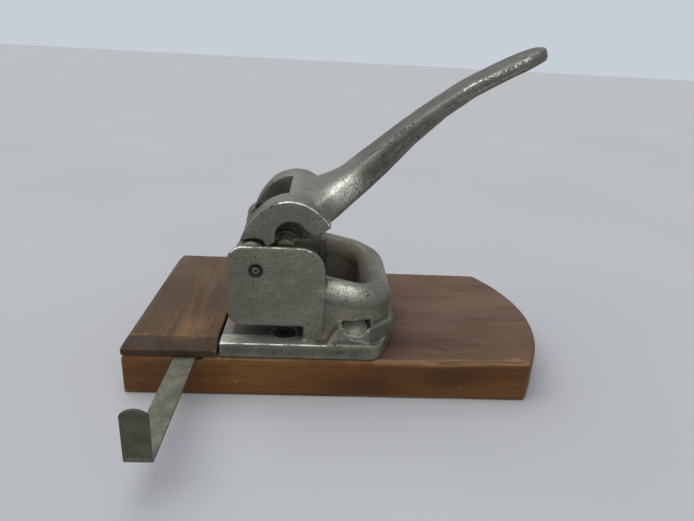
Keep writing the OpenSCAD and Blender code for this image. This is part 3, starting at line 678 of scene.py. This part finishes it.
# The handle's near rim in three lengths, from its root to its tip
ROOT_RIM = ((63.7, -15, 62.9), (73.1, -15, 70.7), (83, -15, 79), (95.5, -15.5, 88.7),
            (109.4, -16.3, 98.3))
MIDDLE_RIM = ((109.4, -16.3, 98.3), (123.2, -17.1, 107.6), (134.2, -17.7, 113.8))
TIP_RIM = ((134.2, -17.7, 113.8), (145.3, -17.1, 121.1), (153.9, -15.9, 125.9),
           (159, -13.9, 128.3))
LEVER_RUBBED = (
    # The hood's near edge, right and left of its top, and its far edge
    (1.0, 1.8, ((14.3, -48, 41.4), (20.6, -48, 42.1), (27, -48, 40), (33.4, -48, 36.4),
                (37.6, -48, 32.7), (41.8, -48, 28.6))),
    (0.45, 1.8, ((-16, -48, 20), (-8, -48, 31), (3, -48, 38.5), (14, -48, 41.3))),
    (0.6, 1.8, ((-8, 48, 31), (14, 48, 41), (30, 48, 38), (42, 48, 28.5))),
    (0.25, 1.6, ROOT_RIM), (0.5, 1.6, MIDDLE_RIM), (0.7, 1.4, TIP_RIM),
    (0.4, 1.8, tuple((u, -v, w) for u, v, w in TIP_RIM)))
# Bare metal at the handle's root and on the hood, with a painted highlight at the root
LEVER_BARE_AND_SHEEN = ((1.4, (49, -27.5, 45), (9.5, 9, 8)), (0.5, (58, -22, 49.5), (9, 6, 5)),
                (0.5, (49.5, 27.5, 45.5), (8, 7, 6)), (0.25, (20, 0, 43), (9, 40, 3)))
LEVER_CHIPS = ((9.1, -47, 39.5, 0.7), (10.7, -45, 40.1, 0.7), (12.3, -46.7, 40.7, 0.6),
               (8.6, -48, 38.5, 0.6), (68, -19.1, 48.4, 0.8), (70.6, -18.4, 55.9, 0.6),
               (-7, -47.5, 31.5, 0.6), (-13, -47.5, 24, 0.6))
RIM_FLAKES = ((118, -16.5, 105), (125.5, -16.3, 110.3), (139.1, -17.9, 116.4),
              (148.3, -18, 121), (157.6, -17.2, 126.2))
PARTING_LINE = ((76.7, -17, 62.6), (84.2, -16.6, 71), (93.7, -16.2, 79.7),
                (105.8, -16.5, 90.7), (119.5, -17.1, 101.1), (130.6, -17.5, 107.4),
                (144.3, -18.1, 114.5), (156, -17.4, 120.5))
LOWER_BAND = ((81, -16.5, 58.6), (92.7, -14.5, 70), (105.2, -16.4, 84), (125, -17, 98),
              (150, -17.5, 112))
UNDER_RIM = ((73, -19, 56), (95, -19.5, 77), (120, -20, 98), (140, -20, 110), (156, -17, 119))


def local(points):
    """The three coordinates from the fulcrum: along the board, across it, and up."""
    return from_fulcrum(points).T


def crisp(stands):
    """Only the very corner of an edge, where the paint wears through first."""
    return ((stands - 0.45) / 0.85).clip(0, 1.2)


def casting_shape(mesh, points, normals, stands):
    """Bores at size, and the spots of the casting that the photo shows rubbed, primed or rusty;
    painted highlights on its ridge, flash lines and flange top, painted shade in its corners,
    heads and slot, and painted light in its screw pocket and well.
    """
    points = keep_bore(points)
    u, v, w = local(points)
    side = np.abs(v)
    # The ridge's limb starts a little behind the plate's right edge
    past = u - PLATE_RIGHT
    behind = (past / 0.7).clip(0, 1) * np.exp(-(past / 7.0).clip(0, None) ** 2)
    behind *= (side > 46) * ((w + 44) / 4).clip(0, 1) * ((4 - w) / 6).clip(0, 1)
    points[:, 1] -= np.sign(v) * 1.5 * MM * behind
    # Where hands, paper and the desk reach, outside the heads and off the bores
    inside = (side < 47.4) & (u < 41) & (w > -43)
    bore = np.hypot(u, w)
    round_bore = (bore < 5.4) & (side > 47)
    edge = crisp(stands) * (0.1 + stripes(points, CASTING_RUBBED).clip(0, 1))
    edge *= ~inside * ~round_bore
    # Painted shade: deep in the slot under the heads, and on the flange's front face
    throat = ((45.2 - side) / 1.4).clip(0, 1) * (side > 25) * (u > -16) * (u < 29.5) * (w < -35)
    flange_front = (side > 56) & (w < -47.5)
    pocket = (side > 40) & (side < 51.5) & (u > 50) & (u < 72) & (w > -45) & (w < -28)
    well = (u > 42.5) & (u < 70) & (side < 38) & (w > -48)
    well &= (np.abs(normals[:, 2]) < 0.9) & (stands < 0.3)
    # Corners take painted shade with some grime; the insides of the heads and the ridge's junction
    # with the plate are painted darker as shade
    hollow = -stands * ~pocket + 0.45 * inside + 1.1 * throat
    hollow += 0.35 * behind + 0.55 * flange_front
    # A painted highlight lightens the flange's top in front of the heads
    flange_top = (side > 45) * (side < 56) * (w > -47.2) * (w < -45) * (u < 36)
    polish = spots(points, RIDGE_BARE_AND_SHEEN) + 0.6 * flange_top + stripes(points, CASTING_FLASH_HIGHLIGHTS)
    # Undercoat spots, and painted light laid in the shaded screw pocket and down the well
    primer = spots(points, CASTING_PRIMER) + 0.6 * pocket * (side < 49.6)
    primer += 0.95 * well * ((-4 - w) / 10).clip(0, 1)
    # A dark ring painted in the shaft's bore on the plates as shade, besides the chips
    scar = 0.9 * ((bore < 4.7) & (side > 51)) + chips(points, CASTING_CHIPS, 0.8)
    set_fields(mesh, edge=edge, hollow=hollow, polish=polish, primer=primer,
               rust=spots(points, CASTING_RUST), scar=scar)
    return points


def lever_shape(mesh, points, normals, stands):
    """The handle's bore at size, its rubbed root under a painted highlight, its rubbed edges,
    painted shade along the handle and under the hood, and the chips along its rim.
    """
    points = keep_bore(points)
    u, v, w = local(points)
    side = np.abs(v)
    inside = (side < 41.3) & (np.hypot(u, w) < 36) & (u < 40)
    edge = crisp(stands) * (0.08 + stripes(points, LEVER_RUBBED).clip(0, 1)) * ~inside
    # The poured joint is kept clear of the painted corner shade and grime; the handle is painted
    # darker from its root out, most on its sides, as painted shade, and so are the inside of the
    # hood and the handle's lower band, which also turns browner
    joined = lever_fillet(points)[0]
    handle_shade = ((u - 54) / 10).clip(0, 1) * (0.55 + 0.05 * (np.abs(normals[:, 1]) > 0.5))
    lower = stripe(points, LOWER_BAND, 4.2)
    hollow = -stands * (1 - joined) + 0.6 * inside + handle_shade + 0.35 * lower
    nick = ripple(points, 0.0035, 11) + 0.6 * ripple(points, 0.0016, 12)
    polish = spots(points, LEVER_BARE_AND_SHEEN)
    polish += 1.1 * (nick > -0.2) * stripe(points, RIM_FLAKES, 0.9)
    polish += 0.45 * (nick > -0.8) * stripe(points, PARTING_LINE, 0.5)
    scar = chips(points, LEVER_CHIPS)
    scar += 1.2 * stripe(points, ROOT_RIM, 0.9) * (nick > 0.1) * (u < 92)
    scar += 0.8 * stripe(points, TIP_RIM, 0.9) * (nick > 1.1)
    scar += 0.75 * stripe(points, UNDER_RIM, 1.1) * (nick > 0.5)
    rust = 0.175 * spot(points, (100, -19, 84), (26, 3, 18)) * (nick > -0.4)
    set_fields(mesh, edge=edge, hollow=hollow, polish=polish, scar=scar, rust=rust,
               primer=0.5 * lower)
    return points


def lever_fillet(points):
    """Where the hollow between the handle and the hood is poured full, and its radius in mm."""
    u, v, w = local(points)
    where = np.exp(-((u - 42) / 15) ** 4 - ((w - 38) / 17) ** 4) * (np.hypot(u, w) > 40)
    return (2.0 * where * (np.abs(v) < 47)).clip(0, 1), 9


def make_castings():
    casting = recast("base_casting", "base_casting_skin", 0.62 * MM, 7, 0.05 * MM, casting_shape)
    swap(casting, "base_casting", "stand", PAINT_BASE)
    lever = recast("lever", "lever_skin", 0.52 * MM, 8, 0.04 * MM, lever_shape, lever_fillet)
    swap(lever, "lever", "handle_lever", PAINT_LEVER)


# ---------------------------------------------------------------- boards

BOARD_PALE = (
    # The top's front edge, right and left of the flange, and round the bowed end; right of the
    # flange its pale line is also a painted highlight along the rounding
    (1.7, 2.0, ((75, -55.5, -56.6), (110, -55.5, -56.6), (186, -54, -56.6))),
    (0.5, 1.0, ((-80, -56.5, -57.5), (75, -56, -57.2))),
    (0.55, 1.2, ((186, -54, -57), (194, -40, -57), (203, -10, -57), (206, 18, -57))))
BOARD_CHIPS = ((131.2, -56.8, -73.7, 0.8), (130.4, -56.8, -72.9, 0.6),
               (-12.2, -56.8, -73.2, 0.6), (93, -56.8, -80, 1.0), (190, -50, -66, 1.0))
BOARD_STAIN = ((0.5, (124, -57, -68), (20, 3, 8)), (0.35, (70, -57, -75), (26, 3, 5)),
               (0.45, (88, 0, -56.3), (12, 60, 3)))
BOARD_SCRATCH = ((113, -33.5, -56.3), (119, -38.5, -56.3), (123, -41, -56.3))
TABLE_PALE = (
    (0.3, 0.7, ((-77, -47.6, -46.4), (-24, -47.4, -46.4))),
    (0.6, 0.9, ((-78, -47.6, -46.4), (-68, -47.5, -46.4))),
    (0.3, 0.6, ((-82, -56.8, -51.9), (-24, -56.8, -51.9))))
TABLE_STAIN = ((0.35, (-58, -53, -49.5), (6, 5, 4)), (0.3, (-35, 10, -46.3), (8, 30, 3)))
TABLE_SCRATCH = ((-53, -50, -48), (-56.5, -54, -50.5))


def up_field(normals):
    """1 where a face looks up, 0 on the sides."""
    return (normals[:, 2] - 0.5) / 0.4


def base_shape(mesh, points, normals, stands):
    """The base board's front edge, rubbed pale with a painted highlight along it, the dark patches
    on it, a scratch and a few chips.
    """
    points = keep_groove(points)
    u, v, w = local(points)
    streak = 0.5 + 0.5 * ripple(points * np.array([0.15, 1, 1]), 0.006, 21)
    pale = stripes(points, BOARD_PALE) + chips(points, BOARD_CHIPS)
    pale += 0.5 * (w < -81.6) * (v < -50) * (0.4 + 0.6 * (streak > 0.35))
    stain = spots(points, BOARD_STAIN) + 0.8 * stripe(points, BOARD_SCRATCH, 0.7)
    # The board painted darker along its bottom millimetre
    stain += 0.4 * (w < -82.3)
    stain += 0.25 * (ripple(points * np.array([0.2, 1, 1]), 0.03, 23) > 0.9)
    set_fields(mesh, edge=stands, up=up_field(normals),
               pale=pale * (0.35 + 0.65 * streak.clip(0, 1)), stain=stain)
    return points


def table_shape(mesh, points, normals, stands):
    """The table board: golden where sleeves rubbed it near its front, its bevels dull and darker,
    in the sides' colour as painted shade.
    """
    w = local(points)[2]
    streak = 0.5 + 0.5 * ripple(points * np.array([1, 0.12, 1]), 0.005, 31)
    pale = 0.6 * spot(points, (-42, -34, -46.3), (18, 20, 3)) * (0.75 + 0.25 * streak.clip(0, 1))
    pale += 0.3 * spot(points, (-45, 30, -46.3), (14, 40, 3)) * (streak > 0.6)
    pale += stripes(points, TABLE_PALE)
    stain = spots(points, TABLE_STAIN) + 0.5 * stripe(points, TABLE_SCRATCH, 0.8)
    # The bevels below the top take the sides' darker colour: painted shade
    set_fields(mesh, edge=stands * 0.8, up=up_field(normals) * (w > -46.8), pale=pale,
               stain=stain)
    return points


def make_boards():
    board = recast("base_board", "base_board_wood", 0.95 * MM, 5, 0.03 * MM, base_shape)
    swap(board, "base_board", "stand", WOOD_BASE)
    table = recast("table_board", "table_board_wood", 0.6 * MM, 4, 0.03 * MM, table_shape)
    swap(table, "table_board", "stand", WOOD_TABLE)


# ---------------------------------------------------------------- springs and ruler

def tube(name, path, radius, around=12):
    """Round wire swept along a path, with closed ends."""
    path = np.array(path, float)
    ways = np.gradient(path, axis=0)
    ways /= np.linalg.norm(ways, axis=1)[:, None]
    points, faces = [], []
    side = np.cross(ways[0], (0, 0, 1.0))
    for here, way in zip(path, ways):
        side = side - way * (side @ way)
        side /= np.linalg.norm(side)
        other = np.cross(way, side)
        for k in range(around):
            turn = 2 * math.pi * k / around
            points.append(here + radius * (math.cos(turn) * side + math.sin(turn) * other))
    last = (len(path) - 1) * around
    for ring in range(0, last, around):
        for k in range(around):
            a, b = ring + k, ring + (k + 1) % around
            faces.append((a, b, b + around, a + around))
    faces.append(tuple(range(around))[::-1])
    faces.append(tuple(last + k for k in range(around)))
    piece = built(name, points, faces)
    sides = piece.data.polygons
    sides.foreach_set("use_smooth", [len(side.vertices) == 4 for side in sides])
    return piece


def make_springs():
    """Return springs round the punches, ends closed."""
    turns, steps, wire, coil = 7.5, 46, 0.55 * MM, 4.3 * MM
    rise = SPRING_TALL - 2 * wire
    closed = 2.1 * wire
    for side, y in PUNCH_Y.items():
        path = []
        for i in range(int(turns * steps) + 1):
            turn = i / steps
            lift = closed * min(turn, 1) + closed * max(turn - turns + 1, 0)
            lift += (rise - 2 * closed) * min(max((turn - 1) / (turns - 2), 0), 1)
            angle = 2 * math.pi * turn
            path.append((PUNCH_X + coil * math.cos(angle), y + coil * math.sin(angle),
                         SPRING_LOW + wire + lift))
        spring = tube(f"{side}_return_spring_wire", path, wire)
        dress(spring, SPRING_STEEL)
        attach(spring, "stand")
        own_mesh(spring)
        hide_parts(f"{side}_return_spring")


def make_ruler():
    """The paper guide: one steel strip with a bent-up stop tab, rounded at its top."""
    low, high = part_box("guide_ruler")
    wide, thick, bend = (high.x - low.x) / 2, 1.6 * MM, 1.3 * MM
    middle, round_top, cols = (low.x + high.x) / 2, 1.32 * (high.x - low.x) / 2, 12
    narrowest = 0.9 * MM
    turn_y, turn_z = low.y + thick + bend, low.z + thick + bend
    # Cross-sections along the strip, round the bend, up the tab and over its top:
    # a place on the inner face, the way out of the metal, and half the width
    rows = [(high.y + (turn_y - high.y) * k / 60, low.z + thick, 0, -1, wide) for k in range(61)]
    for k in range(1, 9):
        angle = math.pi / 2 * k / 8
        rows.append((turn_y - bend * math.sin(angle), turn_z - bend * math.cos(angle),
                     -math.sin(angle), -math.cos(angle), wide))
    shoulder = high.z - round_top
    for k in range(1, 21):
        rows.append((low.y + thick, turn_z + (shoulder - turn_z) * k / 20, -1, 0, wide))
    for k in range(1, 25):
        angle = math.pi / 2 * k / 24
        rows.append((low.y + thick, shoulder + round_top * math.sin(angle), -1, 0,
                     min(wide, max(round_top * math.cos(angle), narrowest))))
    points, faces = [], []
    for y, z, out_y, out_z, half_wide in rows:
        across = [middle + half_wide * (2 * c / cols - 1) for c in range(cols + 1)]
        points += [(x, y, z) for x in across]
        points += [(x, y + out_y * thick, z + out_z * thick) for x in reversed(across)]
    ring = 2 * (cols + 1)
    for i in range(len(rows) - 1):
        for k in range(ring):
            a, b = i * ring + k, i * ring + (k + 1) % ring
            faces.append((a, b, b + ring, a + ring))
    for start in (0, (len(rows) - 1) * ring):
        for c in range(cols):
            faces.append((start + c, start + c + 1, start + ring - 2 - c, start + ring - 1 - c))
    ruler = built("guide_ruler_strip", points, faces)
    add_bevel(ruler, "edges", 0.35 * MM, 3, 50)
    shade_smooth(settled(ruler))
    swap(ruler, "guide_ruler", "ruler", RULER_STEEL)


# ---------------------------------------------------------------- carried-over nodes

def finish_nodes():
    """Turned, ground and screwed parts keep their form and get their finish and broken edges."""
    for label, material, width in (
            ("fulcrum_shaft", SHAFT_STEEL, 0.25), ("near_punch", GROUND_STEEL, 0.12),
            ("far_punch", GROUND_STEEL, 0.12), ("near_cross_pin", PIN_STEEL, 0.2),
            ("far_cross_pin", PIN_STEEL, 0.2), ("near_spring_washer", SCREW_STEEL, 0.12),
            ("far_spring_washer", SCREW_STEEL, 0.12), ("near_guide_bush", BUSH_BRASS, 0.2),
            ("far_guide_bush", BUSH_BRASS, 0.2), ("near_die", SHADED_DIE_STEEL, 0.12),
            ("far_die", SHADED_DIE_STEEL, 0.12), ("ruler_spring", SPRING_STEEL, 0.1),
            ("ridge_screws", SCREW_PAINTED, 0.15), ("flange_screws", SCREW_STEEL, 0.12),
            ("table_screws", SCREW_BRASS, 0.12), ("chip_cover", COVER_SHEET, 0.15),
            ("chip_cover_screws", SCREW_BRASS, 0.08)):
        node = NODES[label]
        dress(node, material)
        ease_edges(node, width * MM)


# ---------------------------------------------------------------- room, lamps and camera

FLOOR_HALF = 9.0
ROOM_LIGHT, ROOM_SEEN = (0.32, 0.328, 0.344, 1), srgb(200, 206, 214)
CAMERA_AT = (-0.0211, -0.3792, 0.2093)
CAMERA_TURN = (3.365, 20.745, 3.145)
FOCAL_PIXELS, PICTURE_WIDE, SENSOR_WIDE = 560, 694, 36


def make_floor():
    """A plain pale floor, which takes the shadow."""
    mesh = bpy.data.meshes.new("floor")
    mesh.from_pydata([(-FLOOR_HALF, -FLOOR_HALF, 0), (FLOOR_HALF, -FLOOR_HALF, 0),
                      (FLOOR_HALF, FLOOR_HALF, 0), (-FLOOR_HALF, FLOOR_HALF, 0)],
                     [], [(0, 1, 2, 3)])
    floor = show("floor", mesh)
    made, tree, shader, at = start_material("pale_floor", srgb(196, 198, 202), 0.0, 0.95,
                                            **{"Specular IOR Level": 0.1})
    cloud = noise(tree, at, 3.0, 3, 0.5)
    feed(tree, shader.inputs["Base Color"],
         mixed(tree, cloud, srgb(184, 186, 189), srgb(194, 196, 199)))
    dress(floor, made)


def make_room():
    """The room round the floor: pale to the camera and to gloss, dimmer as a light."""
    world = bpy.data.worlds.new("room")
    bpy.context.scene.world = world
    world.use_nodes = True
    tree = world.node_tree
    back = tree.nodes["Background"]
    path = put(tree, "LightPath").outputs
    seen = most(tree, path["Is Camera Ray"],
                most(tree, path["Is Glossy Ray"], path["Is Transmission Ray"]))
    feed(tree, back.inputs["Color"], mixed(tree, seen, ROOM_LIGHT, ROOM_SEEN))
    back.inputs["Strength"].default_value = 1.0


def lamp(name, way, strength, spread):
    """Soft light from far off along a direction, as wide as the spread in degrees."""
    light = bpy.data.lights.new(name, "SUN")
    light.energy = strength
    light.angle = math.radians(spread)
    holder = show(name, light)
    holder.matrix_world = Vector(way).to_track_quat("-Z", "Y").to_matrix().to_4x4()


def make_lamps():
    lamp("window", (0.35, -0.06, -1), 1.9, 75)
    lamp("front_fill", (-0.3, 1, -0.7), 0.40, 60)


def make_camera():
    """The photo's viewpoint, solved from the straight edges of the boards."""
    yaw, pitch, roll = (math.radians(a) for a in CAMERA_TURN)
    ahead = Vector((math.sin(yaw) * math.cos(pitch), math.cos(yaw) * math.cos(pitch),
                    -math.sin(pitch)))
    level = Vector((math.cos(yaw), -math.sin(yaw), 0))
    rise = level.cross(ahead)
    right = math.cos(roll) * level + math.sin(roll) * rise
    up = -math.sin(roll) * level + math.cos(roll) * rise
    data = bpy.data.cameras.new("camera")
    data.sensor_width = SENSOR_WIDE
    data.lens = FOCAL_PIXELS / PICTURE_WIDE * SENSOR_WIDE
    data.clip_start = 0.01
    camera = show("camera", data)
    camera.matrix_world = (Matrix.Translation(CAMERA_AT)
                           @ Matrix((right, up, -ahead)).transposed().to_4x4())
    bpy.context.scene.camera = camera


make_camera()
make_floor()
make_room()
make_lamps()
make_castings()
make_boards()
make_springs()
make_ruler()
finish_nodes()

bpy.context.scene.view_settings.view_transform = "Standard"
